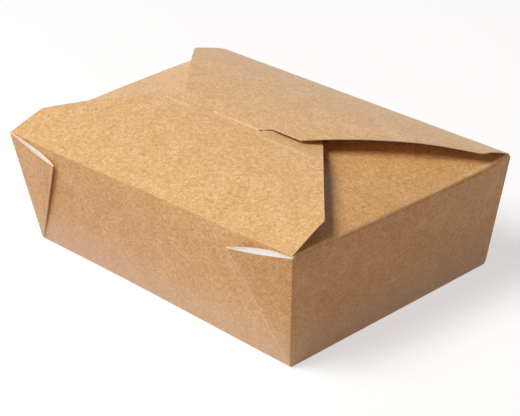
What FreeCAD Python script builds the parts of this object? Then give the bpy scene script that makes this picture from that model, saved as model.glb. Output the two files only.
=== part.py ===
import FreeCAD, Part
import math
import os
import Sketcher

# Takeaway box folded from one sheet of kraft board, lid closed.
# Millimetres. +Z is up, X runs along the long walls, the front wall faces -Y.
# The origin is the centre of the bottom, on the surface that the box stands on.

SIZES = [
    ("board", 0.45, "thickness of the board"),
    ("base_length", 196, "bottom, outside, along X"),
    ("base_width", 140, "bottom, outside, along Y"),
    ("rim_length", 216, "rim, outside, along X"),
    ("rim_width", 156, "rim, outside, along Y"),
    ("wall_height", 64, "rim above the bottom"),
    ("bottom_fold", 0.6, "outside radius of the folds round the bottom"),
    ("lid_rise", 16.5, "top of the front flap above the rim"),
    ("flap_gap", 0.3, "air between the back flap and what it passes or lies on"),
    ("flap_inset", 0.9, "each end of a lid flap's fold inside the rim's corner"),
    ("tip_taper", 1.5, "narrowing of a lid flap at each side, fold to tip"),
    ("tip_radius", 2, "rounding of a lid flap's tips"),
    ("front_tip_depth", 24, "front flap, fold to tip"),
    ("front_reach", 10, "front flap's free edge past the middle of the box"),
    ("front_edge", 82, "front flap's free edge along X"),
    ("back_tip_depth", 22, "back flap, fold to tip"),
    ("left_shoulder", 12, "back flap's left shoulder past the middle of the box"),
    ("right_shoulder", 7.5, "back flap's right shoulder past the middle of the box"),
    ("shoulder_width", 83, "back flap from knee to knee along X"),
    ("notch_width", 7, "slope between the tongue and the right shoulder"),
    ("tongue_width", 35, "locking tongue along X"),
    ("tongue_depth", 10, "locking tongue below the back flap"),
    ("slit_margin", 0.55, "air round the tongue in the front flap's slit"),
    ("dust_depth", 66, "dust flap, fold to free edge"),
    ("dust_inset", 3, "each end of a dust flap's fold inside the rim's corner"),
    ("dust_taper", 49, "narrowing of a dust flap at each side, fold to free edge"),
    ("dust_rise", 12, "degrees that a dust flap stands up toward the lid flaps"),
    ("gusset_drop", 1, "gusset's top at the corner below the rim"),
    ("gusset_overrun", 1.4, "diagonal crease of a gusset longer than the corner's edge"),
    ("gusset_flare", 6.5, "degrees that a gusset stands off its long wall"),
    ("gusset_bow", 3.8, "outer layer of a gusset off its inner layer, both counted"),
]

doc = FreeCAD.newDocument("takeaway_box")
sheet = doc.addObject("Spreadsheet::Sheet", "Sizes")
for row, (alias, value, meaning) in enumerate(SIZES, start=1):
    sheet.set(f"A{row}", meaning)
    sheet.set(f"B{row}", str(value))
    sheet.setAlias(f"B{row}", alias)
doc.recompute()

# Millimetres within which two places count as the same.
SAME_PLACE = 0.001

# Places that several pieces share, as expressions over the sheet.
HALF_RIM_LENGTH = "(Sizes.rim_length / 2)"
HALF_RIM_WIDTH = "(Sizes.rim_width / 2)"
FLAP_HALF = "(Sizes.rim_length / 2 - Sizes.flap_inset)"
TIP_HALF = "(Sizes.rim_length / 2 - Sizes.flap_inset - Sizes.tip_taper)"
FOLD_Y = "(Sizes.rim_width / 2 - Sizes.board / 2)"
FOLD_Z = "(Sizes.wall_height - Sizes.board / 2)"
BELOW_RIM = "(Sizes.wall_height - Sizes.board)"
FRONT_TOP = "(Sizes.wall_height + Sizes.lid_rise)"
BACK_TOP = f"({FRONT_TOP} + Sizes.flap_gap + Sizes.board)"


def size(alias):
    """Value of a size, for what is worked out here and not by an expression."""
    return float(sheet.get(alias))


def vault_radius(top):
    """Outer radius of a lid flap that springs from its fold and is level at the middle of the box."""
    rise = f"({top} - Sizes.board / 2 - {FOLD_Z})"
    return f"(({FOLD_Y}^2 + {rise}^2) / (2 * {rise}) + Sizes.board / 2)"


def vault_height(top, reach):
    """Height of a lid flap's outer face at a distance from the middle of the box."""
    radius = vault_radius(top)
    return f"({top} - {radius} + sqrt({radius}^2 - {reach}^2))"


def bind(piece, **expressions):
    """Tie properties of an object to the sheet; a double underscore stands for a dot."""
    for name, expression in expressions.items():
        piece.setExpression(name.replace("__", "."), expression)
    return piece


def boolean(kind, name, base, tool):
    piece = doc.addObject(kind, name)
    piece.Base = base
    piece.Tool = tool
    return piece


def fuse(name, pieces):
    piece = doc.addObject("Part::MultiFuse", name)
    piece.Shapes = pieces
    return piece


def mirror(name, source, normal):
    piece = doc.addObject("Part::Mirroring", name)
    piece.Source = source
    piece.Normal = normal
    return piece


def long_cylinder(name, radius, y, z):
    """Cylinder along X over the whole length of the rim."""
    piece = doc.addObject("Part::Cylinder", name)
    piece.Placement = FreeCAD.Placement(FreeCAD.Vector(), FreeCAD.Rotation(FreeCAD.Vector(0, 1, 0), 90))
    return bind(piece, Radius=radius, Height="Sizes.rim_length", Placement__Base__x=f"-{HALF_RIM_LENGTH}",
                Placement__Base__y=y, Placement__Base__z=z)


def bent_board(name, radius, y, z):
    """Board bent to an outer radius about a line along X."""
    outer = long_cylinder(f"{name}_outer", radius, y, z)
    inner = long_cylinder(f"{name}_inner", f"{radius} - Sizes.board", y, z)
    return boolean("Part::Cut", f"{name}_bent_board", outer, inner)


def closed_outline(sketch, corners):
    """Draw straight edges round the corners, each corner held at its place from the origin."""
    count = len(corners)
    turn = [2 * math.pi * index / count for index in range(count)]
    start = [FreeCAD.Vector(math.cos(angle), math.sin(angle), 0) for angle in turn]
    edges = []
    for index in range(count):
        edges.append(sketch.addGeometry(Part.LineSegment(start[index], start[(index + 1) % count])))
    for index, edge in enumerate(edges):
        sketch.addConstraint(Sketcher.Constraint("Coincident", edge, 2, edges[(index + 1) % count], 1))
    for edge, (across, along) in zip(edges, corners):
        for kind, place in (("DistanceX", across), ("DistanceY", along)):
            held = sketch.addConstraint(Sketcher.Constraint(kind, -1, 1, edge, 1, 1.0))
            sketch.setExpression(f"Constraints[{held}]", place)


def outline_prism(name, outlines, base, length):
    """Pad of closed outlines on the ground plane, from a base height upwards."""
    body = doc.addObject("PartDesign::Body", name)
    ground = next(plane for plane in body.Origin.OriginFeatures if plane.Role == "XY_Plane")
    sketch = body.newObject("Sketcher::SketchObject", f"{name}_sketch")
    sketch.AttachmentSupport = (ground, "")
    sketch.MapMode = "FlatFace"
    sketch.setExpression("AttachmentOffset.Base.z", base)
    for corners in outlines:
        closed_outline(sketch, corners)
    pad = body.newObject("PartDesign::Pad", f"{name}_pad")
    pad.Profile = sketch
    pad.setExpression("Length", length)
    doc.recompute()
    return body


def round_tips(prism, tip_y):
    """Fillet the two upright edges of a flap's prism at its tips."""
    pad = prism.Tip
    names = []
    for index, edge in enumerate(pad.Shape.Edges, start=1):
        bounds = edge.BoundBox
        upright = bounds.XLength < SAME_PLACE and bounds.YLength < SAME_PLACE
        if upright and abs(bounds.YMin - tip_y) < SAME_PLACE:
            names.append(f"Edge{index}")
    fillet = prism.newObject("PartDesign::Fillet", f"{prism.Name}_round")
    fillet.Base = (pad, names)
    fillet.setExpression("Radius", "Sizes.tip_radius")


def vault_flap(name, outlines, top, tip_y):
    """Lid flap: board bent to the vault, trimmed to its cut outline."""
    prism = outline_prism(f"{name}_outline", outlines, BELOW_RIM, f"{BACK_TOP} - {BELOW_RIM}")
    round_tips(prism, tip_y)
    bent = bent_board(name, vault_radius(top), "0", f"{top} - {vault_radius(top)}")
    return boolean("Part::Common", f"{name}_sheet", bent, prism)


def tray():
    """Bottom and four leaning walls, folded up from the bottom."""
    outer = doc.addObject("Part::Wedge", "tray_outside")
    inner = doc.addObject("Part::Wedge", "tray_inside")
    upright = FreeCAD.Placement(FreeCAD.Vector(), FreeCAD.Rotation(FreeCAD.Vector(1, 0, 0), 90))
    # A wedge grows along its own Y, which is turned up here.
    for piece, low, high, wall in ((outer, "0", "Sizes.wall_height", "0"),
                                   (inner, "Sizes.board", "(Sizes.wall_height + Sizes.board)", "Sizes.board")):
        half = {}
        for axis, base, rim in (("X", "Sizes.base_length", "Sizes.rim_length"),
                                ("Z", "Sizes.base_width", "Sizes.rim_width")):
            lean = f"(({rim} - {base}) / 2 / Sizes.wall_height)"
            half[axis] = f"({base} / 2 + {lean} * {low} - {wall})"
            half[f"{axis}2"] = f"({base} / 2 + {lean} * {high} - {wall})"
        piece.Placement = upright
        bind(piece, Ymin=low, Ymax=high)
        for side, place in half.items():
            bind(piece, **{f"{side}min": f"-{place}", f"{side}max": place})
    doc.recompute()
    rounded = doc.addObject("Part::Fillet", "tray_outside_folds")
    rounded.Base = outer
    radius = size("bottom_fold")
    bottom_edges = [index for index, edge in enumerate(outer.Shape.Edges, start=1)
                    if edge.BoundBox.ZMax < radius]
    rounded.Edges = [(index, radius, radius) for index in bottom_edges]
    return boolean("Part::Cut", "tray", rounded, inner)


def plane_through(first, second, third, inside):
    """Plane of three points as a normal that points away from an inside point, and its offset."""
    normal = (second - first).cross(third - first)
    normal.normalize()
    if normal.dot(inside - first) > 0:
        normal = normal * -1
    return normal, normal.dot(first)


def meet(one, two, three):
    """Point where three planes meet."""
    across = two[0].cross(three[0]) * one[1]
    across += three[0].cross(one[0]) * two[1]
    across += one[0].cross(two[0]) * three[1]
    return across * (1 / one[0].dot(two[0].cross(three[0])))


def four_sided_solid(corners):
    faces = []
    for left_out in range(len(corners)):
        loop = [corner for index, corner in enumerate(corners) if index != left_out]
        faces.append(Part.Face(Part.makePolygon(loop + loop[:1])))
    solid = Part.Solid(Part.Shell(faces))
    if solid.Volume < 0:
        solid.reverse()
    return solid


def corner_gusset():
    """Web of the front right corner: folded double on its diagonal and laid along the long wall.

    Its layers part between the corner and the crease, so that the web is a pocket open at the top.
    """
    board = size("board")
    middle = board / 2
    foot = FreeCAD.Vector(size("base_length") / 2 - middle, middle - size("base_width") / 2, 0)
    rim = FreeCAD.Vector(size("rim_length") / 2 - middle, middle - size("rim_width") / 2, size("wall_height"))
    edge = rim - foot
    length = edge.Length
    edge.normalize()
    wall_normal = FreeCAD.Vector(1, 0, 0).cross(edge)
    wall_normal.normalize()
    along_wall = wall_normal.cross(edge)
    # What the leaning walls leave of the blank's right angle, shared by the two layers.
    lean_long = math.degrees(math.atan2(rim.x - foot.x, math.hypot(rim.y - foot.y, rim.z)))
    lean_short = math.degrees(math.atan2(foot.y - rim.y, math.hypot(rim.x - foot.x, rim.z)))
    half_web = math.radians((90 - lean_long - lean_short) / 2)
    flare = math.radians(size("gusset_flare"))
    off_wall = along_wall * math.cos(flare) + wall_normal * math.sin(flare)
    outwards = wall_normal * math.cos(flare) - along_wall * math.sin(flare)
    crease = edge * math.cos(half_web) + off_wall * math.sin(half_web)
    low = foot + edge * board
    top = rim - edge * size("gusset_drop")
    tip = foot + crease * (length + size("gusset_overrun"))
    bow = (top + tip) * 0.5 + outwards * size("gusset_bow")
    centre = (low + top + tip + bow) * 0.25
    layer = plane_through(low, top, tip, centre)
    near_corner = plane_through(low, top, bow, centre)
    near_crease = plane_through(low, bow, tip, centre)
    mouth = plane_through(top, tip, bow, centre)
    shell = [(normal, offset - board) for normal, offset in (layer, near_corner, near_crease)]
    open_mouth = (mouth[0], mouth[1] + board)
    hollow = [meet(*shell), meet(shell[0], shell[1], open_mouth), meet(shell[0], shell[2], open_mouth),
              meet(shell[1], shell[2], open_mouth)]
    return four_sided_solid([low, top, tip, bow]).cut(four_sided_solid(hollow))


def gussets():
    front_right = doc.addObject("Part::Feature", "gusset_front_right")
    front_right.Shape = corner_gusset()
    front_left = mirror("gusset_front_left", front_right, FreeCAD.Vector(1, 0, 0))
    back_right = mirror("gusset_back_right", front_right, FreeCAD.Vector(0, 1, 0))
    back_left = mirror("gusset_back_left", back_right, FreeCAD.Vector(1, 0, 0))
    return [front_right, front_left, back_right, back_left]


def dust_flaps():
    """Flaps of the short walls, folded in under the lid flaps and springing up toward them."""
    half_fold = f"({HALF_RIM_WIDTH} - Sizes.dust_inset)"
    half_end = f"({half_fold} - Sizes.dust_taper)"
    outline = [("-Sizes.dust_depth", f"-{half_end}"), ("0", f"-{half_fold}"),
               ("0", half_fold), ("-Sizes.dust_depth", half_end)]
    right = outline_prism("dust_flap_right", [outline], "-Sizes.board", "Sizes.board")
    right.Placement.Rotation = FreeCAD.Rotation(FreeCAD.Vector(0, 1, 0), 1)
    bind(right, Placement__Base__x=HALF_RIM_LENGTH, Placement__Base__z="Sizes.wall_height",
         Placement__Rotation__Angle="Sizes.dust_rise")
    left = mirror("dust_flap_left", right, FreeCAD.Vector(1, 0, 0))
    return [right, left]


def tongue_radius():
    """Outer radius, about the back fold, of the path that the tongue takes through the slit."""
    reach = f"({FOLD_Y} + Sizes.left_shoulder)"
    height = f"({vault_height(BACK_TOP, 'Sizes.left_shoulder')} - {FOLD_Z})"
    return f"sqrt({reach}^2 + {height}^2)"


def front_flap():
    """Lower lid flap, with the slit that takes the back flap's tongue."""
    half_edge = "(Sizes.front_edge / 2)"
    tip_y = f"(Sizes.front_tip_depth - {HALF_RIM_WIDTH})"
    outline = [(f"-{FLAP_HALF}", f"-{HALF_RIM_WIDTH}"), (FLAP_HALF, f"-{HALF_RIM_WIDTH}"), (TIP_HALF, tip_y),
               (half_edge, "Sizes.front_reach"), (f"-{half_edge}", "Sizes.front_reach"),
               (f"-{TIP_HALF}", tip_y)]
    half_slit = "(Sizes.tongue_width / 2 + Sizes.slit_margin)"
    path = tongue_radius()
    level = f"({vault_height(FRONT_TOP, 'Sizes.left_shoulder')} - {FOLD_Z})"
    slit_front = f"({FOLD_Y} - sqrt({path}^2 - {level}^2) - Sizes.slit_margin)"
    slit_back = f"({slit_front} + Sizes.board + 2 * Sizes.slit_margin)"
    slit = [(f"-{half_slit}", slit_front), (half_slit, slit_front), (half_slit, slit_back),
            (f"-{half_slit}", slit_back)]
    tip_place = size("front_tip_depth") - size("rim_width") / 2
    return vault_flap("front_flap", [outline, slit], FRONT_TOP, tip_place)


def back_flap():
    """Upper lid flap: shoulders over the front flap, a tongue down through its slit, a round fold."""
    half_tongue = "(Sizes.tongue_width / 2)"
    half_shoulder = "(Sizes.shoulder_width / 2)"
    tip_y = f"({HALF_RIM_WIDTH} - Sizes.back_tip_depth)"
    outline = [(FLAP_HALF, FOLD_Y), (f"-{FLAP_HALF}", FOLD_Y), (f"-{TIP_HALF}", tip_y),
               (f"-{half_shoulder}", "-Sizes.left_shoulder"), (half_tongue, "-Sizes.left_shoulder"),
               (f"({half_tongue} + Sizes.notch_width)", "-Sizes.right_shoulder"),
               (half_shoulder, "-Sizes.right_shoulder"), (TIP_HALF, tip_y)]
    tip_place = size("rim_width") / 2 - size("back_tip_depth")
    flap = vault_flap("back_flap", [outline], BACK_TOP, tip_place)
    fold = long_cylinder("back_flap_fold", "Sizes.board / 2", FOLD_Y, FOLD_Z)
    bind(fold, Height=f"2 * {FLAP_HALF}", Placement__Base__x=f"-{FLAP_HALF}")
    bent = bent_board("tongue", tongue_radius(), FOLD_Y, FOLD_Z)
    window = doc.addObject("Part::Box", "tongue_window")
    top = f"({vault_height(BACK_TOP, 'Sizes.left_shoulder')} - Sizes.board / 2)"
    bind(window, Length="Sizes.tongue_width", Width=FOLD_Y, Height="Sizes.tongue_depth",
         Placement__Base__x=f"-{half_tongue}", Placement__Base__y=f"-{FOLD_Y}",
         Placement__Base__z=f"{top} - Sizes.tongue_depth")
    tongue = boolean("Part::Common", "tongue", bent, window)
    return fuse("back_flap", [flap, fold, tongue])


def box_body():
    """The folded sheet: tray, gussets, dust flaps and front flap, relieved along the back fold."""
    folded = fuse("folded_sheet", [tray(), *gussets(), *dust_flaps(), front_flap()])
    relief = long_cylinder("back_fold_relief", "Sizes.board / 2 + Sizes.flap_gap", FOLD_Y, FOLD_Z)
    return boolean("Part::Cut", "box_body", folded, relief)


pieces = {"box_body": box_body(), "back_flap": back_flap()}
doc.recompute()

for item in doc.Objects:
    if "Invalid" in item.State or "Error" in item.State:
        raise RuntimeError(f"{item.Name} did not build: {item.State}")

os.makedirs("parts", exist_ok=True)
for node, piece in pieces.items():
    piece.Label = node
    shape = piece.Shape
    if shape.isNull() or not shape.isValid() or len(shape.Solids) != 1:
        raise RuntimeError(f"{node} is not one sound solid")
    shape.exportStep(f"parts/{node}.step")
    print(node, "volume", round(shape.Volume, 1), "box", shape.BoundBox)
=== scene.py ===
import math

import bmesh
import bpy
from mathutils import Matrix, Vector


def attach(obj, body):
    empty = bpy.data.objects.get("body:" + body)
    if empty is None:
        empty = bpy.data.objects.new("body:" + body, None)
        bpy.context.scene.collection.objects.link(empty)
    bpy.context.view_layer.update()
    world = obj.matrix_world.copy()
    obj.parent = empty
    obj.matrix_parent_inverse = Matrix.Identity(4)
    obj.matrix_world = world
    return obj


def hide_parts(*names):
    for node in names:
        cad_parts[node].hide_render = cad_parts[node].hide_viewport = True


# Takeaway box folded from one sheet of kraft board, brown outside and coated white inside.
# Lengths below are millimetres in the part's own frame; MM turns them to metres.

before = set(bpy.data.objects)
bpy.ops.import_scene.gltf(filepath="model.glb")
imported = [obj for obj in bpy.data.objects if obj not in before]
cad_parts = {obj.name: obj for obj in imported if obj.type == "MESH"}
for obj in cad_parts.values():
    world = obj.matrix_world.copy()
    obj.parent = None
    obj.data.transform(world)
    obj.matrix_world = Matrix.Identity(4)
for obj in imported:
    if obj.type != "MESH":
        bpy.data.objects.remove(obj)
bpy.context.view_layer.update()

MM = 0.001

# The sheet and the box that it folds to.
BOARD = 0.45
BASE_LENGTH, BASE_WIDTH = 196, 140
RIM_LENGTH, RIM_WIDTH = 216, 156
WALL_HEIGHT = 64
FOLD_Y = RIM_WIDTH / 2 - BOARD / 2
FOLD_Z = WALL_HEIGHT - BOARD / 2

# Lid flaps: each springs from its fold on an arc that is level at the middle of the box.
FRONT_TOP = 80.5
FLAP_GAP = 0.3
BACK_TOP = FRONT_TOP + FLAP_GAP + BOARD
FOLD_HALF = 107.1
FRONT_REACH = 10
LEFT_SHOULDER, RIGHT_SHOULDER = -12, -7.5
TONGUE_HALF = 17.5
TONGUE_DEPTH = 10
NOTCH_END = 24.5
SLIT_MARGIN, SLIT_FRONT_MARGIN = 0.55, 0.2
CREASE_Y = {"left": -14.9, "right": -16.2}

# Tips of the lid flaps, as half width and distance from the middle, and how softly they are rounded.
# The box is folded by hand, so its tips lie a few millimetres off each other from side to side.
FRONT_TIP = {"left": (105, -57.6), "right": (104.6, -53.2)}
FRONT_EDGE_HALF = {"left": 28, "right": 41}
BACK_TIP = {"left": (104.8, 52.8), "right": (107, 58.4)}
SHOULDER_HALF = {"left": 40.3, "right": 43}
TIP_ROUNDING = {"left": 0.25, "right": 0.5}

# Dust flaps on the short walls.
DUST_DEPTH = 69
DUST_HALF, DUST_END_HALF = 75, 26
DUST_RISE = math.radians(13.5)
DUST_CURL = 0.0016

# Gussets: the webs between the walls, folded double on their diagonals.
# Each web, folded by hand: degrees that it stands off the wall and between its edge and its crease,
# length of its crease, how far towards the crease its layers bulge most (skew over 1), how far its
# outer and inner layers bulge, how far their lips rise or sink, how far the inner lip curls back to
# the wall, and how far its corner stays below the rim. The back webs stay lower, clear of the back
# flap when it is laid right back.
WEBS = {
    "gusset_front_right": {"corner": (1, -1), "flare": 7.66, "opening": 36.2, "crease": 66, "skew": 1,
                           "bows": (0.8, -0.7), "lips": (-0.4, 0.6), "curl": 1.2, "drop": 0.9},
    "gusset_front_left": {"corner": (-1, -1), "flare": 4, "opening": 35, "crease": 63, "skew": 1.9,
                          "bows": (0.55, -0.4), "lips": (-0.2, 0.4), "curl": 0.5, "drop": 0.3},
    "gusset_back_right": {"corner": (1, 1), "flare": 5.5, "opening": 37.2, "crease": 67.2, "skew": 1,
                          "bows": (1.3, -0.5), "lips": (-0.6, -0.2), "curl": 0.5, "drop": 1.5},
    "gusset_back_left": {"corner": (-1, 1), "flare": 6.4, "opening": 37.2, "crease": 67.2, "skew": 1,
                         "bows": (1.6, -0.7), "lips": (-0.7, -0.2), "curl": 0.6, "drop": 1.5},
}

# Outside radii that the folds are rounded to.
WALL_FOLD = 0.45
LID_FOLD = 0.55
DUST_FOLD = 1.8

# Places in the list of materials that every piece shares.
KRAFT, COATING, WEAR_AND_HIGHLIGHT, WEAR_AND_HIGHLIGHT_COATING, PAINTED_SHADE, COATING_UNDER_PAINTED_SHADE, EDGE = range(7)


def select_only(piece):
    bpy.ops.object.select_all(action="DESELECT")
    piece.select_set(True)
    bpy.context.view_layer.objects.active = piece


def start_editing(piece, mode="VERT"):
    select_only(piece)
    bpy.ops.object.mode_set(mode="EDIT")
    bpy.ops.mesh.select_mode(type=mode)


def stop_editing():
    bpy.ops.object.mode_set(mode="OBJECT")


def pick(piece, kind, test):
    """Select, in edit mode, the edges or faces whose middle in millimetres passes a test."""
    bpy.ops.mesh.select_mode(type=kind)
    bpy.ops.mesh.select_all(action="DESELECT")
    mesh = bmesh.from_edit_mesh(piece.data)
    for part in mesh.edges if kind == "EDGE" else mesh.faces:
        middle = sum((corner.co for corner in part.verts), Vector()) / len(part.verts) / MM
        if test(middle, part):
            part.select_set(True)
    mesh.select_flush_mode()
    bmesh.update_edit_mesh(piece.data)


def in_order(mesh, order):
    """Selected vertices, sorted by a key of their place."""
    chosen = [vertex for vertex in mesh.verts if vertex.select]
    return sorted(chosen, key=lambda vertex: order(vertex.co))


def place_selected(piece, order, places):
    """Move the selected vertices, sorted by a key, to a list of places in millimetres."""
    mesh = bmesh.from_edit_mesh(piece.data)
    chosen = in_order(mesh, order)
    for vertex, place in zip(chosen, places, strict=True):
        vertex.co = Vector(place) * MM
    bmesh.update_edit_mesh(piece.data)


def extrude_to(piece, order, places):
    """Extrude the selected open row of edges and lay the new row on a list of places."""
    bpy.ops.mesh.extrude_edges_move()
    place_selected(piece, order, places)


def along_x(place):
    return place.x


def along_y(place):
    return place.y


def split_edge(piece, test, order, places):
    """Cut one edge at a list of places along it."""
    pick(piece, "EDGE", test)
    bpy.ops.mesh.subdivide(number_cuts=len(places))
    mesh = bmesh.from_edit_mesh(piece.data)
    between_ends = in_order(mesh, order)[1:-1]
    for vertex, place in zip(between_ends, places, strict=True):
        vertex.co = Vector(place) * MM
    bmesh.update_edit_mesh(piece.data)


def apply_modifier(piece, kind, **settings):
    select_only(piece)
    modifier = piece.modifiers.new(kind.lower(), kind)
    for name, value in settings.items():
        setattr(modifier, name, value)
    bpy.ops.object.modifier_apply(modifier=modifier.name)


def blend_in(value, start, end):
    """Smooth step from 0 at start to 1 at end."""
    share = min(max((value - start) / (end - start), 0), 1)
    return share * share * (3 - 2 * share)


def blend_out(value, start, end):
    """Smooth step from 1 at start to 0 at end."""
    return blend_in(-value, -end, -start)


def softer_least(one, two, rounding):
    """Least of two lengths, rounded where they meet."""
    return -rounding * math.log(math.exp(-one / rounding) + math.exp(-two / rounding))


def vault_radius(top):
    rise = top - BOARD / 2 - FOLD_Z
    return (FOLD_Y ** 2 + rise ** 2) / (2 * rise) + BOARD / 2


def vault_height(top, y):
    radius = vault_radius(top)
    return top - radius + math.sqrt(radius ** 2 - y ** 2)


def give_thickness(piece):
    """Turn the modelled outer face of the board into board: coated inside, bare along its cut edge."""
    apply_modifier(piece, "SOLIDIFY", thickness=BOARD * MM, offset=-1, use_even_offset=True,
                   use_rim=True, use_quality_normals=True, material_offset=COATING - KRAFT,
                   material_offset_rim=EDGE - KRAFT)


def turn_outward(piece, seen_face, normal_up):
    """Make a sheet's normals consistent, and turn them over if one face's normal points the wrong way."""
    bpy.ops.mesh.select_all(action="SELECT")
    bpy.ops.mesh.normals_make_consistent(inside=False)
    stop_editing()
    face = seen_face(piece.data.polygons, key=lambda face: face.center.z)
    if (face.normal.z > 0) != normal_up:
        start_editing(piece)
        bpy.ops.mesh.select_all(action="SELECT")
        bpy.ops.mesh.flip_normals()
        stop_editing()


def combine(piece, others, operation):
    """Boolean of a piece with others, which it uses up."""
    for other in others:
        apply_modifier(piece, "BOOLEAN", object=other, operation=operation, solver="EXACT")
        bpy.data.objects.remove(other)


def give_slots(piece, finishes):
    for finish in finishes:
        piece.data.materials.append(finish)


# Walls.

WALL_LEVELS = [0, 16, 32, 48, WALL_HEIGHT]

# Lengths within which a place counts as on an edge or on the rim, and a length that no bow passes.
NEAR, ON_RIM = 0.1, 0.01
PAST_BOW = 3

# The back wall ends just short of the round fold that the back flap turns on.
BACK_FOLD_RADIUS = 0.28
BACK_WALL_GAP, BACK_WALL_INSET = 0.05, 0.08
BACK_WALL_SPARE = 0.25


def half_length(height):
    return (BASE_LENGTH + (RIM_LENGTH - BASE_LENGTH) * height / WALL_HEIGHT) / 2


def half_width(height):
    return (BASE_WIDTH + (RIM_WIDTH - BASE_WIDTH) * height / WALL_HEIGHT) / 2


def at_corner(middle):
    """Whether a place lies on one of the four leaning corners between the walls."""
    near = NEAR / 2
    return abs(middle.x) > half_length(middle.z) - near and abs(middle.y) > half_width(middle.z) - near


# Bows of the rims: how far each goes, and where along the wall it swells and dies away.
FRONT_BOW, FRONT_SWELL, FRONT_FADE = 1.7, (-60, 40), (50, 106)
SIDE_BOW = {1: (2.6, (-60, 55), (60, 77)), -1: (2.2, (-77, 20), (40, 77))}

# Near its left end the front rim bulges outward instead: how far, where, and how widely.
FRONT_BULGE, BULGE_X, BULGE_SPREAD = 0.7, -72, 24

# The flaps take up the bows at their folds and lose them by this Y, or this distance from the fold.
FRONT_BOW_END, DUST_BOW_END = -50, 20


def front_bow(x):
    """How far the arched flap draws the front wall's rim inward."""
    drawn_in = FRONT_BOW * blend_in(x, *FRONT_SWELL) * blend_out(x, *FRONT_FADE)
    return drawn_in - FRONT_BULGE * math.exp(-((x - BULGE_X) / BULGE_SPREAD) ** 2)


def side_bow(y, side):
    """How far the dust flap pushes the short wall's rim outward, on the right (1) or the left (-1)."""
    bow, swell, fade = SIDE_BOW[side]
    return bow * blend_in(y, *swell) * blend_out(y, *fade)


def bow_walls(sheet):
    """Bend the leaning walls by the bows of their rims, more the higher they are."""
    mesh = bmesh.from_edit_mesh(sheet.data)
    for vertex in mesh.verts:
        x, y, z = vertex.co / MM
        share = (z / WALL_HEIGHT) ** 2
        if abs(x) < FOLD_HALF and y < NEAR - half_width(z):
            vertex.co.y += front_bow(x) * share * MM
        if abs(y) < DUST_HALF and abs(x) > half_length(z) - NEAR:
            side = math.copysign(1, x)
            vertex.co.x += side * side_bow(y, side) * share * MM
    bmesh.update_edit_mesh(sheet.data)


# Front flap.

def side_of(share):
    return "left" if share < 0 else "right"


def front_half_width(y, side):
    """Half of the front flap's width at a distance from the middle: side edge, tip, slanted edge."""
    tip_half, tip_y = FRONT_TIP[side]
    fold_y = -RIM_WIDTH / 2
    straight = FOLD_HALF + (tip_half - FOLD_HALF) * (y - fold_y) / (tip_y - fold_y)
    slope = (tip_half - FRONT_EDGE_HALF[side]) / (FRONT_REACH - tip_y)
    slanted = tip_half - slope * (y - tip_y)
    return softer_least(straight, slanted, TIP_ROUNDING[side])


# The creases pressed into the front flap: where they start off the middle, how deep and wide their
# groove is, and how steeply the flap dips past the right one.
CREASE_START = {"left": (29, 33), "right": (24, 27)}
GROOVE_DEPTH, GROOVE_HALF = 0.12, 0.6
DIP_SLOPE, DIP_START = 0.17, (19, 27)

# The right tip stands up a little: by how much, and where the rise starts and ends.
TIP_LIFT = 0.8
TIP_LIFT_X, TIP_LIFT_Y, TIP_LIFT_END = (60, 104), (-74, -54), (-50, -20)


def front_height(x, y):
    """Vault of the front flap, bent down past its pressed crease to the right of the slit."""
    side = side_of(x)
    height = vault_height(FRONT_TOP, y)
    past_crease = max(y - CREASE_Y["right"], 0)
    height -= DIP_SLOPE * past_crease * blend_in(x, *DIP_START)
    groove = max(1 - abs(y - CREASE_Y[side]) / GROOVE_HALF, 0)
    height -= GROOVE_DEPTH * groove * blend_in(abs(x), *CREASE_START[side])
    lift = TIP_LIFT * blend_in(x, *TIP_LIFT_X) * blend_in(y, *TIP_LIFT_Y)
    return height + lift * blend_out(y, *TIP_LIFT_END)


# Rows across the front flap, from its fold to its free edge, closer at the tips and the creases.
FRONT_COLUMNS = 48
FRONT_ROWS = [-76.4, -73, -69, -65, -61, -59, -58.2, -57.6, -57, -56, -55, -54, -53.6, -53.2, -52.8,
              -52, -51, -49, -46, -42, -38, -34, -30, -26, -22, -19, -17.4, -16.6, -16.2, -15.8, -15.3,
              -14.9, -14.5, -13.9, -13, -10, -7, -4, -1, 2, 5, 8, 10]


def front_row(y):
    columns = [2 * index / FRONT_COLUMNS - 1 for index in range(FRONT_COLUMNS + 1)]
    spread = [share * front_half_width(y, side_of(share)) for share in columns]
    near_fold = blend_out(y, -RIM_WIDTH / 2, FRONT_BOW_END)
    return [(x, y + front_bow(x) * near_fold, front_height(x, y)) for x in spread]


# Dust flaps.

DUST_COLUMNS = 12
DUST_END_ROUNDING, DUST_END_SPAN = 4, (60, 72)
DUST_ROWS = [3, 6, 12, 20, 30, 40, 50, 58, 64, 67, DUST_DEPTH]


def dust_height(depth):
    """Height of a dust flap at a distance from its fold: it rises inward and flattens out."""
    return WALL_HEIGHT + depth * (math.tan(DUST_RISE) - DUST_CURL * depth)


def dust_half_width(depth):
    """Half of a dust flap's width at a distance from its fold: tapered, and rounded at its end."""
    half = DUST_HALF + (DUST_END_HALF - DUST_HALF) * depth / DUST_DEPTH
    return half - DUST_END_ROUNDING * blend_in(depth, *DUST_END_SPAN) ** 2


def dust_row(side, depth):
    half = dust_half_width(depth)
    columns = [2 * index / DUST_COLUMNS - 1 for index in range(DUST_COLUMNS + 1)]
    x = RIM_LENGTH / 2 - depth * math.cos(DUST_RISE)
    near_fold = blend_out(depth, 0, DUST_BOW_END)
    return [(side * (x + side_bow(share * half, side) * near_fold), share * half, dust_height(depth))
            for share in columns]


# The folded sheet.

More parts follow.
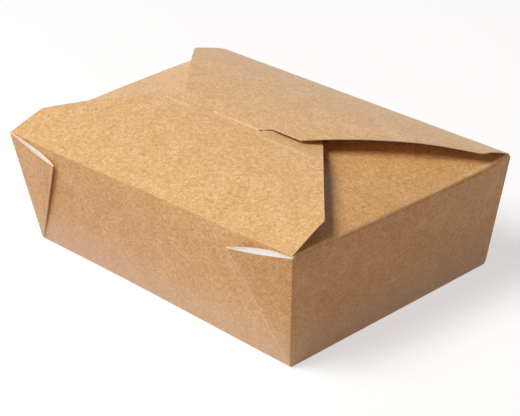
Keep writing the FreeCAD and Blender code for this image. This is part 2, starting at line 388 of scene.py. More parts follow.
def folded_sheet():
    """Bottom, walls, dust flaps and front flap, folded up from a flat rectangle of board."""
    bpy.ops.mesh.primitive_plane_add(size=1)
    sheet = bpy.context.object
    sheet.name = "folded_sheet"
    start_editing(sheet)
    bpy.ops.mesh.select_all(action="SELECT")
    bpy.ops.transform.resize(value=(BASE_LENGTH * MM, BASE_WIDTH * MM, 1), center_override=(0, 0, 0))
    bpy.ops.mesh.flip_normals()

    # The bottom's edges, cut where the columns of the flaps will stand on the walls.
    fold = [(2 * index / FRONT_COLUMNS - 1) * FOLD_HALF for index in range(FRONT_COLUMNS + 1)]
    dust = [(2 * index / DUST_COLUMNS - 1) * DUST_HALF for index in range(DUST_COLUMNS + 1)]
    in_length, in_width = BASE_LENGTH / RIM_LENGTH, BASE_WIDTH / RIM_WIDTH
    back = [-FOLD_HALF - BACK_WALL_SPARE, FOLD_HALF + BACK_WALL_SPARE]
    for side, columns in ((-1, fold), (1, back)):
        split_edge(sheet, lambda middle, edge: side * middle.y > BASE_WIDTH / 2 - NEAR, along_x,
                   [(x * in_length, side * BASE_WIDTH / 2, 0) for x in columns])
    for side in (1, -1):
        split_edge(sheet, lambda middle, edge: side * middle.x > BASE_LENGTH / 2 - NEAR, along_y,
                   [(side * BASE_LENGTH / 2, y * in_width, 0) for y in dust])

    # Walls, leaning out as they rise.
    pick(sheet, "EDGE", lambda middle, edge: edge.is_boundary)
    for below, above in zip(WALL_LEVELS, WALL_LEVELS[1:]):
        wider = (half_length(above) / half_length(below), half_width(above) / half_width(below), 1)
        bpy.ops.mesh.extrude_edges_move(TRANSFORM_OT_translate={"value": (0, 0, (above - below) * MM)})
        bpy.ops.transform.resize(value=wider, center_override=(0, 0, 0))
    bow_walls(sheet)
    pick(sheet, "EDGE", lambda middle, edge: edge.is_boundary and middle.y > RIM_WIDTH / 2 - NEAR
         and abs(middle.x) < FOLD_HALF)
    lower = FOLD_Z - WALL_HEIGHT - BACK_FOLD_RADIUS - BACK_WALL_GAP
    bpy.ops.transform.translate(value=(0, -BACK_WALL_INSET * MM, lower * MM))

    # Flaps, row by row from their folds.
    pick(sheet, "EDGE", lambda middle, edge: edge.is_boundary and middle.y < PAST_BOW - RIM_WIDTH / 2
         and abs(middle.x) < FOLD_HALF)
    for y in FRONT_ROWS:
        extrude_to(sheet, along_x, front_row(y))
    for side in (1, -1):
        pick(sheet, "EDGE", lambda middle, edge: edge.is_boundary and abs(middle.y) < DUST_HALF
             and side * middle.x > RIM_LENGTH / 2 - NEAR)
        for depth in DUST_ROWS:
            extrude_to(sheet, along_y, dust_row(side, depth))

    # Folds, rounded, and painted pale: rubbed fibres and a painted highlight.
    pick(sheet, "EDGE", lambda middle, edge: not edge.is_boundary
         and (middle.z < NEAR or at_corner(middle)))
    bpy.ops.mesh.bevel(offset=WALL_FOLD * MM, segments=3, affect="EDGES", material=WEAR_AND_HIGHLIGHT)
    pick(sheet, "EDGE", lambda middle, edge: not edge.is_boundary and abs(middle.x) < FOLD_HALF
         and abs(middle.z - WALL_HEIGHT) < ON_RIM and middle.y < PAST_BOW - RIM_WIDTH / 2)
    bpy.ops.mesh.bevel(offset=LID_FOLD * MM, segments=4, affect="EDGES", material=WEAR_AND_HIGHLIGHT)
    pick(sheet, "EDGE", lambda middle, edge: not edge.is_boundary and abs(middle.y) < DUST_HALF
         and abs(middle.z - WALL_HEIGHT) < ON_RIM and abs(middle.x) > RIM_LENGTH / 2 - NEAR)
    bpy.ops.mesh.bevel(offset=DUST_FOLD * MM, segments=5, affect="EDGES", material=WEAR_AND_HIGHLIGHT)

    turn_outward(sheet, min, normal_up=False)
    return sheet


# Back flap.

TONGUE_LEFT = -TONGUE_HALF / SHOULDER_HALF["left"]
TONGUE_RIGHT = TONGUE_HALF / SHOULDER_HALF["right"]

# Columns and rows of the back flap, as shares of its half width and of its depth.
BACK_COLUMNS = [-1, -0.92, -0.84, -0.76, -0.68, -0.59, -0.5, TONGUE_LEFT, -0.3, -0.15, 0, 0.15,
                0.3, TONGUE_RIGHT, 0.44, 0.48, 0.53, 0.6, 0.68, 0.76, 0.84, 0.92, 1]
BACK_ROWS = [0.01, 0.03, 0.07, 0.12, 0.16, 0.19, 0.21, 0.225, 0.232, 0.24, 0.255, 0.265, 0.272, 0.278,
             0.285, 0.3, 0.32, 0.36, 0.42, 0.48, 0.54, 0.6, 0.66, 0.72, 0.78, 0.84, 0.89, 0.93, 0.96,
             0.985, 1]

# The tips droop: by how much, over which span of X, and where along Y that dies away to the fold.
DROOP = {"left": (0.5, (80, 104)), "right": (0.9, (84, 106))}
DROOP_FADE, RIGHT_DROOP_FADE = (60, 77), (58, 66)

# Rounding at the notch's end, and how far the edges along a row lie inside its ends.
NOTCH_ROUNDING = 1.5
ROW_MARGIN = 0.3

# The tongue bends down at the shoulder line and follows an arc about the back fold.
TONGUE_TOP = vault_height(BACK_TOP, LEFT_SHOULDER)
TONGUE_REACH = math.hypot(FOLD_Y - LEFT_SHOULDER, TONGUE_TOP - FOLD_Z)
TONGUE_BEND, BEND_SET_BACK = 0.5, 0.2
TONGUE_LEVELS = [2, 4, 6, 8, 9.3, TONGUE_DEPTH]
TONGUE_ROUNDING, ROUNDED_LEVELS = 1.5, (TONGUE_DEPTH - 2.5, TONGUE_DEPTH + 0.5)


def back_half_width(depth, side):
    """Half width of the back flap at a share of the way to the shoulder on that side."""
    tip_half, tip_y = BACK_TIP[side]
    shoulder = LEFT_SHOULDER if side == "left" else RIGHT_SHOULDER
    y = FOLD_Y + (shoulder - FOLD_Y) * depth
    straight = FOLD_HALF + (tip_half - FOLD_HALF) * (FOLD_Y - y) / (FOLD_Y - tip_y)
    slope = (tip_half - SHOULDER_HALF[side]) / (tip_y - shoulder)
    slanted = tip_half - slope * (tip_y - y)
    return softer_least(straight, slanted, TIP_ROUNDING[side])


def back_end(share):
    """Where the back flap's front edge lies: at the tongue's bend, and past the notch at the shoulder."""
    notch = blend_in(share * SHOULDER_HALF["right"], TONGUE_HALF, NOTCH_END - NOTCH_ROUNDING)
    return LEFT_SHOULDER + (RIGHT_SHOULDER - LEFT_SHOULDER) * notch


def back_height(x, y):
    """Vault of the back flap, with its tips drawn down a little."""
    most, span = DROOP[side_of(x)]
    droop = most * blend_in(abs(x), *span)
    if x > 0:
        droop *= blend_out(y, *RIGHT_DROOP_FADE)
    return vault_height(BACK_TOP, y) - droop * blend_out(y, *DROOP_FADE)


def back_row(depth):
    row = []
    for share in BACK_COLUMNS:
        y = FOLD_Y + (back_end(share) - FOLD_Y) * depth
        x = share * back_half_width(depth, side_of(share))
        row.append((x, y, back_height(x, y)))
    return row


def tongue_y(z):
    """Where the tongue's outer face lies at a height."""
    return FOLD_Y - math.sqrt(TONGUE_REACH ** 2 - (z - FOLD_Z) ** 2)


def tongue_rows():
    """Rows of the tongue as their Y, their Z and how much narrower they are than the tongue's root."""
    rows = []
    for step in (1, 2, 3):
        angle = math.radians(90) * step / 3
        y = LEFT_SHOULDER - TONGUE_BEND * math.sin(angle) + BEND_SET_BACK
        rows.append((y, TONGUE_TOP - TONGUE_BEND * (1 - math.cos(angle)), 0))
    for depth in TONGUE_LEVELS:
        z = TONGUE_TOP - depth
        rows.append((tongue_y(z), z, TONGUE_ROUNDING * blend_in(depth, *ROUNDED_LEVELS)))
    return rows


def back_flap_sheet():
    """Back lid flap with its shoulders and the locking tongue."""
    bpy.ops.mesh.primitive_grid_add(x_subdivisions=len(BACK_COLUMNS) - 1, y_subdivisions=1, size=1)
    flap = bpy.context.object
    flap.name = "lid_back_flap"
    start_editing(flap)
    for side, depth in ((1, 0), (-1, BACK_ROWS[0])):
        bpy.ops.mesh.select_all(action="DESELECT")
        mesh = bmesh.from_edit_mesh(flap.data)
        for vertex in mesh.verts:
            vertex.select_set(side * vertex.co.y > 0)
        mesh.select_flush_mode()
        place_selected(flap, along_x, back_row(depth))
    pick(flap, "EDGE", lambda middle, edge: edge.is_boundary and abs(middle.x) < FOLD_HALF - ROW_MARGIN
         and middle.y < FOLD_Y - ROW_MARGIN)
    for depth in BACK_ROWS[1:]:
        extrude_to(flap, along_x, back_row(depth))
    pick(flap, "EDGE", lambda middle, edge: edge.is_boundary and abs(middle.x) < TONGUE_HALF
         and middle.y < LEFT_SHOULDER + ROW_MARGIN)
    columns = BACK_COLUMNS[BACK_COLUMNS.index(TONGUE_LEFT):BACK_COLUMNS.index(TONGUE_RIGHT) + 1]
    spread = [share * SHOULDER_HALF[side_of(share)] for share in columns]
    for y, z, narrower in tongue_rows():
        wide = 1 - narrower / TONGUE_HALF
        extrude_to(flap, along_x, [(x * wide, y, z) for x in spread])
    turn_outward(flap, max, normal_up=True)
    return flap


def back_fold_bead():
    """Round fold along the top of the back wall, about which the flap turns."""
    bpy.ops.mesh.primitive_cylinder_add(vertices=20, radius=BACK_FOLD_RADIUS * MM,
                                        depth=2 * FOLD_HALF * MM, rotation=(0, math.pi / 2, 0),
                                        location=(0, FOLD_Y * MM, FOLD_Z * MM))
    bead = bpy.context.object
    bpy.ops.object.transform_apply(location=True, rotation=True, scale=True)
    return bead


# The slit that the tongue goes through is cut with a round-ended block of this height.
CUTTER_HEIGHT, CUTTER_ROUNDING = 6, 0.9


def slit_cutter():
    level = vault_height(FRONT_TOP, LEFT_SHOULDER)
    front = tongue_y(level) - SLIT_FRONT_MARGIN
    length = 2 * (TONGUE_HALF + SLIT_MARGIN)
    width = BOARD + SLIT_MARGIN + SLIT_FRONT_MARGIN
    bpy.ops.mesh.primitive_cube_add(size=1, location=(0, (front + width / 2) * MM, level * MM),
                                    scale=(length * MM, width * MM, CUTTER_HEIGHT * MM))
    cutter = bpy.context.object
    bpy.ops.object.transform_apply(location=True, rotation=True, scale=True)
    start_editing(cutter, "EDGE")
    pick(cutter, "EDGE", lambda middle, edge: abs(middle.x) > TONGUE_HALF and abs(middle.z - level) < NEAR)
    bpy.ops.mesh.bevel(offset=width / 2 * CUTTER_ROUNDING * MM, segments=4, affect="EDGES")
    stop_editing()
    return cutter


# Gussets.

# Points of a web's outline: along each layer, and round its crease and its corner.
SIDE_POINTS = 22
END_POINTS = 6
RING_POINTS = 2 * (SIDE_POINTS + 1) + 2 * END_POINTS

# Rings of its skin from the foot up, and of the pocket between its layers down again, as shares of
# the way up. At the layers' ends the pocket leaves only twice its radius open between them.
SKIN_LEVELS = [0.015, 0.05, 0.12, 0.22, 0.34, 0.46, 0.58, 0.7, 0.82, 0.92, 0.95, 0.965, 0.98, 0.99, 1]
POCKET_LEVELS = [1, 0.99, 0.98, 0.965, 0.95, 0.9, 0.8, 0.68, 0.56, 0.44, 0.32, 0.2, 0.1]
POCKET_RADIUS = 0.012

# The foot stands this far above the bottom. The crease is rubbed over a narrow band, near the foot
# over no more than a share of the layer. A layer bulges more near the wall than at its crease, and
# an inner lip curls over a share of the height that grows with its curl.
FOOT_LIFT = 0.1
CREASE_BAND, BAND_SHARE = 0.9, 0.4
BULGE_AT_WALL, BULGE_LOSS = 1.15, 0.3
CURL_SHARE = 0.04


def gusset_frame(web):
    """Foot and top of the corner's edge, tip of the crease, and the ways out of the web and up its edge."""
    flare, opening = math.radians(web["flare"]), math.radians(web["opening"])
    foot = Vector((BASE_LENGTH / 2 - BOARD, -BASE_WIDTH / 2 - BOARD / 2, BOARD + FOOT_LIFT))
    top = Vector((RIM_LENGTH / 2 - BOARD, -RIM_WIDTH / 2 - BOARD / 2, WALL_HEIGHT - web["drop"]))
    rise = Vector(((RIM_LENGTH - BASE_LENGTH) / 2, (BASE_WIDTH - RIM_WIDTH) / 2, WALL_HEIGHT))
    edge = rise.normalized()
    wall_normal = Vector((1, 0, 0)).cross(edge).normalized()
    along_wall = wall_normal.cross(edge)
    off_wall = along_wall * math.cos(flare) + wall_normal * math.sin(flare)
    out = wall_normal * math.cos(flare) - along_wall * math.sin(flare)
    crease = edge * math.cos(opening) + off_wall * math.sin(opening)
    return foot, top, foot + crease * web["crease"], out, edge


def gusset_ring(level, radius, web):
    """Outline of the two layers at a share of the way up from the foot, a radius off their middle."""
    foot, top, tip, out, edge = gusset_frame(web)
    across = (tip - top).normalized()

    def middle(share, bow, raised):
        skewed = share ** web["skew"]
        arch = 4 * skewed * (1 - skewed)
        bulge = out * bow * arch * (BULGE_AT_WALL - BULGE_LOSS * share)
        place = top + (tip - top) * share + bulge + edge * raised * arch
        return foot + (place - foot) * level

    def round_end(share, way):
        """Half round of one end: of the crease (1) or, the other way, of the corner (-1)."""
        centre = middle(share, 0, 0)
        return [centre + (out * math.cos(turn) + across * math.sin(turn)) * radius * way for turn in turns]

    band = min(CREASE_BAND / ((tip - top).length * level), BAND_SHARE)
    shares = [index / (SIDE_POINTS - 1) * (1 - band) for index in range(SIDE_POINTS)] + [1]
    turns = [math.pi * index / (END_POINTS + 1) for index in range(1, END_POINTS + 1)]
    curl = web["curl"] * blend_in(level, 1 - CURL_SHARE * web["curl"], 1)
    outer_bow, inner_bow = web["bows"]
    outer_lip, inner_lip = web["lips"]
    outer = [middle(share, outer_bow, outer_lip) + out * radius for share in shares]
    inner = [middle(share, inner_bow - curl, inner_lip) - out * radius for share in reversed(shares)]
    return outer + round_end(1, 1) + inner + round_end(0, -1)


def gusset(name, shape):
    """Web of one corner, two layers of board open at the top, mirrored from the front right one."""
    side_x, side_y = shape["corner"]
    bpy.ops.mesh.primitive_circle_add(vertices=RING_POINTS, radius=1, fill_type="NGON")
    web = bpy.context.object
    web.name = name
    skin = [(level, BOARD) for level in SKIN_LEVELS]
    pocket = [(level, POCKET_RADIUS) for level in POCKET_LEVELS]
    rings = []
    for level, radius in skin + pocket:
        ring = gusset_ring(level, radius, shape)
        rings.append([Vector((side_x * place.x, -side_y * place.y, place.z)) * MM for place in ring])
    start_editing(web)
    mesh = bmesh.from_edit_mesh(web.data)
    mesh.verts.ensure_lookup_table()
    for vertex, place in zip(mesh.verts, rings[0], strict=True):
        vertex.co = place
    bmesh.update_edit_mesh(web.data)
    bpy.ops.mesh.select_mode(type="EDGE")
    bpy.ops.mesh.select_all(action="SELECT")
    bpy.ops.mesh.region_to_loop()
    current = list(range(RING_POINTS))
    for ring in rings[1:]:
        bpy.ops.mesh.extrude_edges_move()
        mesh = bmesh.from_edit_mesh(web.data)
        mesh.verts.ensure_lookup_table()
        mesh.verts.index_update()
        grown = []
        for index, place in zip(current, ring, strict=True):
            old = mesh.verts[index]
            new = next(edge.other_vert(old) for edge in old.link_edges if edge.other_vert(old).select)
            new.co = place
            grown.append(new.index)
        current = grown
        bmesh.update_edit_mesh(web.data)
    bpy.ops.mesh.edge_face_add()
    bpy.ops.mesh.select_all(action="SELECT")
    bpy.ops.mesh.normals_make_consistent(inside=False)
    stop_editing()
    return web


def finish_gusset(web):
    """Give the skin, the lip and the pocket of a web their finishes by their place in the extrusion."""
    lip = len(SKIN_LEVELS) - 1
    for face in web.data.polygons:
        ring = min(face.vertices) // RING_POINTS
        column = min(index % RING_POINTS for index in face.vertices)
        on_crease = SIDE_POINTS - 1 <= column <= SIDE_POINTS + END_POINTS + 1
        if ring > lip:
            face.material_index = COATING
        elif ring == lip:
            face.material_index = EDGE
        # The web's crease is painted pale: rubbed fibres and a painted highlight.
        elif on_crease and len(face.vertices) == 4:
            face.material_index = WEAR_AND_HIGHLIGHT
        else:
            face.material_index = KRAFT


# Materials.

def linear(code):
    """Linear colour of an sRGB hex value."""
    channels = [int(code[index:index + 2], 16) / 255 for index in (0, 2, 4)]
    return [((value + 0.055) / 1.055) ** 2.4 if value > 0.04045 else value / 12.92
            for value in channels] + [1]


def add(tree, kind, inputs=None, **settings):
    """Add a node with its settings, and fill or link its inputs."""
    node = tree.nodes.new(kind)
    for name, value in settings.items():
        setattr(node, name, value)
    for name, value in (inputs or {}).items():
        if isinstance(value, bpy.types.NodeSocket):
            tree.links.new(value, node.inputs[name])
        else:
            node.inputs[name].default_value = value
    return node


def new_material(name):
    """Empty material with its node tree and its output."""
    material = bpy.data.materials.new(name)
    material.use_nodes = True
    tree = material.node_tree
    tree.nodes.clear()
    return material, tree, add(tree, "ShaderNodeOutputMaterial")


def noise(tree, flat, scale, detail, roughness=0.5, distortion=0.0):
    """Noise over a panel, at a scale per millimetre."""
    return add(tree, "ShaderNodeTexNoise", {"Vector": flat, "Scale": scale, "Detail": detail,
                                            "Roughness": roughness, "Distortion": distortion},
               noise_dimensions="2D").outputs["Fac"]


def mix(tree, factor, first, second):
    """Blend of two colours."""
    return add(tree, "ShaderNodeMix", {"Factor": factor, "A": first, "B": second},
               data_type="RGBA").outputs["Result"]


# The kraft side: how much the clumps add to the clouds, and where on their sum its three tones lie.
CLUMP_WEIGHT = 0.36
DARK_AT, MIDDLE_AT, LIGHT_AT = 0.42, 0.67, 0.92

# Fibres run at four angles, each with its own shift, and those at one angle are dark. They are long
# and thin, and show where their noise is strong.
FIBRE_ANGLES = {8: 0, 52: 31, 96: 77, 141: 113}
DARK_FIBRES = 52
FIBRE_SCALE, SHIFT_SLANT = (0.42, 1.5, 1), 0.7
FIBRE_RIDGE = (0.52, 0.75)

# Painted light: the foot of the walls is painted paler for the light and sheen that the table throws on it,
# up to this height in metres and by this share.
FOOT_HEIGHT, FOOT_PALENESS = 0.032, 0.38

# Relief of the fibres and of the coating, in metres.
FIBRE_RELIEF, COATING_RELIEF = 0.00005, 0.00004


def kraft_surface(name, dark, middle, light, fibre_strength, roughness):
    """Unbleached kraft board: long brown softwood fibres pressed flat, mottled where they clump."""
    material, tree, output = new_material(name)
    flat = add(tree, "ShaderNodeUVMap", uv_map="grain").outputs["UV"]
    cloud = noise(tree, flat, scale=0.07, detail=3.0, roughness=0.6, distortion=0.6)
    clump = noise(tree, flat, scale=0.6, detail=3.0, roughness=0.55, distortion=1.0)
    density = add(tree, "ShaderNodeMath", {0: cloud, 1: CLUMP_WEIGHT, 2: clump}, operation="MULTIPLY_ADD")
    shade = add(tree, "ShaderNodeValToRGB", {"Fac": density.outputs[0]})
    lowest, highest = shade.color_ramp.elements
    lowest.position, lowest.color = DARK_AT, linear(dark)
    highest.position, highest.color = LIGHT_AT, linear(light)
    centre = shade.color_ramp.elements.new(MIDDLE_AT)
    centre.color = linear(middle)
    colour = shade.outputs["Color"]
    height = clump
    for angle, shift in FIBRE_ANGLES.items():
        tone = dark if angle == DARK_FIBRES else light
        shifted = (shift, shift * SHIFT_SLANT, 0)
        turned = add(tree, "ShaderNodeMapping", {"Vector": flat, "Location": shifted,
                                                 "Rotation": (0, 0, math.radians(angle)),
                                                 "Scale": FIBRE_SCALE})
        strand = noise(tree, turned.outputs["Vector"], scale=1.0, detail=1.5, distortion=1.2)
        ridge = add(tree, "ShaderNodeMapRange", {"Value": strand, "From Min": FIBRE_RIDGE[0],
                                                 "From Max": FIBRE_RIDGE[1], "To Min": 0.0,
                                                 "To Max": fibre_strength})
        colour = mix(tree, ridge.outputs["Result"], colour, linear(tone))
        height = add(tree, "ShaderNodeMath", {0: height, 1: strand}, operation="ADD").outputs[0]
    # Painted light: the colour pales towards the foot of the walls, standing in for light from the table.
    place = add(tree, "ShaderNodeTexCoord").outputs["Object"]
    level = add(tree, "ShaderNodeSeparateXYZ", {"Vector": place}).outputs["Z"]
    foot = add(tree, "ShaderNodeMapRange", {"Value": level, "From Min": 0.0, "From Max": FOOT_HEIGHT,
                                            "To Min": FOOT_PALENESS, "To Max": 0.0},
               interpolation_type="SMOOTHSTEP")
    colour = mix(tree, foot.outputs["Result"], colour, linear("F0DCC8"))
    bump = add(tree, "ShaderNodeBump", {"Height": height, "Strength": 0.2, "Distance": FIBRE_RELIEF})
    shader = add(tree, "ShaderNodeBsdfPrincipled", {"Base Color": colour, "Roughness": roughness,
                                                    "Specular IOR Level": 0.25,
                                                    "Normal": bump.outputs["Normal"]})
    tree.links.new(shader.outputs["BSDF"], output.inputs["Surface"])
    return material


def coated_surface():
    """Inside of the board: bleached and coated against grease, so white, smooth and a little glossy."""
    material, tree, output = new_material("coated_board_inside")
    flat = add(tree, "ShaderNodeUVMap", uv_map="grain").outputs["UV"]
    grain = noise(tree, flat, scale=1.1, detail=3.0)
    tone = mix(tree, grain, linear("F6F6F4"), linear("FDFDFC"))
    bump = add(tree, "ShaderNodeBump", {"Height": grain, "Strength": 0.15, "Distance": COATING_RELIEF})
    shader = add(tree, "ShaderNodeBsdfPrincipled", {"Base Color": tone, "Roughness": 0.3,
                                                    "Specular IOR Level": 0.7,
                                                    "Normal": bump.outputs["Normal"]})
    tree.links.new(shader.outputs["BSDF"], output.inputs["Surface"])
    return material


def board_finishes():
    """Finishes in the order of the material places."""
    # Board rolled smooth between hot rollers: even brown with a dull sheen.
    kraft = kraft_surface("kraft_board_calendered", "C8944F", "DFAB69", "F6D0A0", 0.62, 0.38)
    # A rubbed fold, whose fibres are bruised and lift: paler, with a softer grain, and painted paler still
    # as a highlight along folds and creases.
    wear_and_highlight = kraft_surface("kraft_board_rubbed_fold_and_highlight", "D8AC77", "ECC594", "F8E0C0", 0.5, 0.4)
    # Painted shade: board in the shade under the lid, painted a deeper brown.
    painted_shade = kraft_surface("kraft_board_painted_shade", "C08845", "D89E5A", "F1C48F", 0.62, 0.38)
    # The die's cut through the sheet, where the fibres' pale ends show, and painted paler still as a
    # highlight along the cut: nearly white and matt.
    edge = kraft_surface("kraft_board_cut_edge", "F0DAB4", "F7E4C3", "FBEDD6", 0.3, 0.8)
    coating = coated_surface()
    return [kraft, coating, wear_and_highlight, coating, painted_shade, coating, edge]


# Millimetres between the grain of panels that face different ways, so that no two look alike.
PANEL_SHIFT = 300


def lay_grain(piece):
    """Lay each panel flat, in millimetres, so that fibres run over it at their real size."""
    layer = piece.data.uv_layers.new(name="grain")
    for face in piece.data.polygons:
        normal = [abs(value) for value in face.normal]
        if normal[2] >= max(normal[0], normal[1]):
            axes, shift = (0, 1), 0
        elif normal[1] >= normal[0]:
            axes, shift = (0, 2), PANEL_SHIFT
        else:
            axes, shift = (1, 2), 2 * PANEL_SHIFT
        for loop in face.loop_indices:
            place = piece.data.vertices[piece.data.loops[loop].vertex_index].co / MM
            layer.data[loop].uv = (place[axes[0]] + shift, place[axes[1]] + shift)


# How far a face of the dust flap may lie off its curve, which its round fold leaves a little.
OFF_FLAP = 0.8


def paint_dust_flap_shade(sheet):
    """Painted shade: the right dust flap takes a deeper, more orange brown for the shade under the lid."""
    for face in sheet.data.polygons:
        x, y, z = face.center / MM
        depth = (RIM_LENGTH / 2 - x) / math.cos(DUST_RISE)
        on_flap = 0 < depth < DUST_DEPTH and abs(y) < dust_half_width(depth) and z > WALL_HEIGHT + NEAR
        if on_flap and abs(z - dust_height(depth)) < OFF_FLAP and face.material_index == KRAFT:
            face.material_index = PAINTED_SHADE


# Pale lines: how far off the middle each runs, and how wide it is to either side of its crease.
PALE_LINES = {"left": (33, 60), "right": (26, 68)}
PALE_LINE_HALF = 0.4

# Depths below a lid flap's top: of the front flap's creases, and of the tongue's bend and the notch.
NEAR_TOP, NEAR_BEND = 5, 4


def wear_and_highlight_creases(sheet):
    """Pale lines where the front flap was pressed down on both sides of the tongue: rubbed fibres and a
    painted highlight.
    """
    for face in sheet.data.polygons:
        x, y, z = face.center / MM
        start, end = PALE_LINES[side_of(x)]
        on_line = start < abs(x) < end and abs(y - CREASE_Y[side_of(x)]) < PALE_LINE_HALF
        if on_line and z > FRONT_TOP - NEAR_TOP:
            face.material_index = WEAR_AND_HIGHLIGHT


# Span of the notch along X in which the cut edge is given the coating's white finish.
WHITE_NOTCH_START, WHITE_NOTCH_END = 17.6, 20.6


def whiten_notch_edge(flap):
    """White on the cut edge in the notch beside the tongue: these edge faces take the coating's finish."""
    for face in flap.data.polygons:
        x, y, z = face.center / MM
        if face.material_index == EDGE and WHITE_NOTCH_START < x < WHITE_NOTCH_END and z > BACK_TOP - NEAR_BEND:
            face.material_index = COATING


# How far the front right corner is pulled at its foot, along X and Y, and at its rim, and the spans
# over which each pull grows: of X, of the distance to the front, and of height.
FOOT_OUT_X, FOOT_OUT_Y = 1.1, -2.9
RIM_SHIFT = Vector((-0.5, 1.2, 1.3))
OUT_X_SPAN, OUT_Y_SPAN, OUT_Y_FRONT = (0, 98), (-60, 130), (0, 70)
RIM_X, RIM_FRONT, RIM_UP = (50, 107), (40, 78), (10, WALL_HEIGHT)


def pull_corner(piece):
    """Open the front right corner: its foot stands out, and its rim stands a little up and back."""
    for vertex in piece.data.vertices:
        x, y, z = vertex.co / MM
        low = max(1 - z / WALL_HEIGHT, 0)
        high = blend_in(x, *RIM_X) * blend_in(-y, *RIM_FRONT) * blend_in(z, *RIM_UP)
        out_x = FOOT_OUT_X * blend_in(x, *OUT_X_SPAN)
        out_y = FOOT_OUT_Y * blend_in(x, *OUT_Y_SPAN) * blend_in(-y, *OUT_Y_FRONT)
        vertex.co += (Vector((out_x, out_y, 0)) * low + RIM_SHIFT * high) * MM


def wear_and_highlight_tongue(flap):
    """Pale bend at the root of the tongue: rubbed fibres and a painted highlight."""
    for face in flap.data.polygons:
        x, y, z = face.center / MM
        if abs(x) < TONGUE_HALF and y < LEFT_SHOULDER and z > BACK_TOP - NEAR_BEND:
            face.material_index = WEAR_AND_HIGHLIGHT


# Faces that meet at less than this angle are shaded as one smooth bend.
SMOOTH_ANGLE = math.radians(28)


def finish_piece(piece, body, node):
    select_only(piece)
    bpy.ops.object.shade_smooth_by_angle(angle=SMOOTH_ANGLE)
    lay_grain(piece)
    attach(piece, body)
    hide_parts(node)


FINISHES = board_finishes()

sheet = folded_sheet()
give_slots(sheet, FINISHES)
wear_and_highlight_creases(sheet)
# Painted shade on the right dust flap.
paint_dust_flap_shade(sheet)
give_thickness(sheet)
combine(sheet, [slit_cutter()], "DIFFERENCE")
webs = []
for name, shape in WEBS.items():
    web = gusset(name, shape)
    give_slots(web, FINISHES)
    finish_gusset(web)
    webs.append(web)
combine(sheet, webs, "UNION")
pull_corner(sheet)

flap = back_flap_sheet()
give_slots(flap, FINISHES)
wear_and_highlight_tongue(flap)
give_thickness(flap)
whiten_notch_edge(flap)
bead = back_fold_bead()
give_slots(bead, FINISHES)
combine(flap, [bead], "UNION")

finish_piece(sheet, "box", "box_body")
finish_piece(flap, "lid_flap", "back_flap")


# Floor, light and camera.

WHITE, MID_GREY = (1, 1, 1, 1), (0.5, 0.5, 0.5, 1)

# Metres: the floor's size, and how far it lies below the box so that their faces never share a plane.
FLOOR_SIZE, FLOOR_DROP = 12, 0.0002


def seen_directly(tree):
    """One for rays from the camera, in gloss or through glass, which show the room, and else zero."""
    rays = add(tree, "ShaderNodeLightPath").outputs
    plain = add(tree, "ShaderNodeMath", {0: rays["Is Camera Ray"], 1: rays["Is Glossy Ray"]},
                operation="MAXIMUM").outputs[0]
    return add(tree, "ShaderNodeMath", {0: plain, 1: rays["Is Transmission Ray"]},
               operation="MAXIMUM").outputs[0]


def floor_surface():
    """Matt white table: plain white but for the shadow; to the box it throws back a little warm light, and
    it glows a little warm as a fill.
    """
    material, tree, output = new_material("floor_matt_white")
    seen = seen_directly(tree)
    matt = add(tree, "ShaderNodeBsdfDiffuse", {"Color": mix(tree, seen, linear("B8A8A2"), MID_GREY)})
    glow = add(tree, "ShaderNodeMapRange", {"Value": seen, "To Min": 0.2, "To Max": 0.6})
    lit = add(tree, "ShaderNodeEmission", {"Color": mix(tree, seen, linear("FFE6D6"), WHITE),
                                           "Strength": glow.outputs["Result"]})
    both = add(tree, "ShaderNodeAddShader", {0: matt.outputs["BSDF"], 1: lit.outputs["Emission"]})
    tree.links.new(both.outputs["Shader"], output.inputs["Surface"])
    return material


def lay_floor():
    bpy.ops.mesh.primitive_plane_add(size=FLOOR_SIZE, location=(0, 0, -FLOOR_DROP))
    floor = bpy.context.object
    floor.name = "floor"
    floor.data.materials.append(floor_surface())


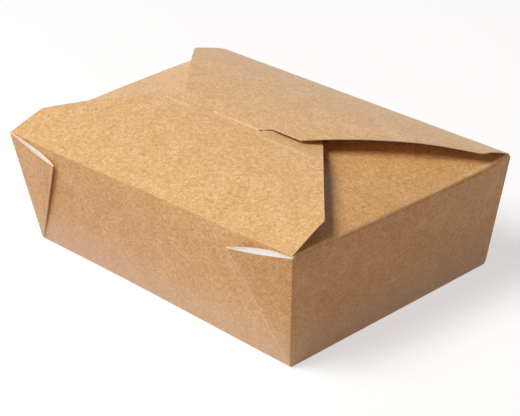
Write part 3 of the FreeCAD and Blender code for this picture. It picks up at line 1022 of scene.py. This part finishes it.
def light_room():
    """White room to the eye and in gloss, and a dim warm light that falls on the box."""
    world = bpy.data.worlds.new("studio")
    world.use_nodes = True
    bpy.context.scene.world = world
    tree = world.node_tree
    tree.nodes.clear()
    seen = seen_directly(tree)
    strength = add(tree, "ShaderNodeMapRange", {"Value": seen, "To Min": 0.09, "To Max": 1.0})
    background = add(tree, "ShaderNodeBackground", {"Color": mix(tree, seen, linear("FFDFCD"), WHITE),
                                                    "Strength": strength.outputs["Result"]})
    output = add(tree, "ShaderNodeOutputWorld")
    tree.links.new(background.outputs["Background"], output.inputs["Surface"])


def hang_softbox(name, near_end, far_end, width, power):
    """Strip softbox between two places in metres, facing the middle of the box."""
    middle_of_box = Vector((0, 0, 0.04))
    place = (Vector(near_end) + Vector(far_end)) / 2
    along = Vector(far_end) - Vector(near_end)
    away = (place - middle_of_box).normalized()
    side = (along - away * along.dot(away)).normalized()
    bpy.ops.object.light_add(type="AREA", location=place)
    lamp = bpy.context.object
    lamp.name = name
    lamp.data.shape = "RECTANGLE"
    lamp.data.size = along.length
    lamp.data.size_y = width
    lamp.data.energy = power
    lamp.rotation_euler = Matrix((side, away.cross(side), away)).transposed().to_euler()


def place_camera():
    """The photograph's view: turned 47 degrees round the box, 27 above the table, rolled by 2."""
    azimuth, elevation, roll = (math.radians(angle) for angle in (47.414, 26.715, -2.290))
    distance, aside, above = 1.05381, 0.00157, 0.02266
    focal_pixels, frame_pixels, sensor = 1957.8, 520, 36
    back = Vector((math.sin(azimuth) * math.cos(elevation), -math.cos(azimuth) * math.cos(elevation),
                   math.sin(elevation)))
    right = Vector((math.cos(azimuth), math.sin(azimuth), 0))
    up = back.cross(right)
    bpy.ops.object.camera_add()
    camera = bpy.context.object
    turned = (right * math.cos(roll) + up * math.sin(roll),
              up * math.cos(roll) - right * math.sin(roll), back)
    place = back * distance + right * aside + up * above
    camera.matrix_world = Matrix.Translation(place) @ Matrix(turned).transposed().to_4x4()
    camera.data.sensor_width = sensor
    camera.data.lens = focal_pixels * sensor / frame_pixels
    camera.data.clip_start = 0.01
    bpy.context.scene.camera = camera


lay_floor()
light_room()
hang_softbox("key_softbox", near_end=(-1.29, -0.66, 2.60), far_end=(-0.09, -2.04, 2.08), width=1.35,
             power=74)
place_camera()
bpy.context.scene.view_settings.view_transform = "Standard"
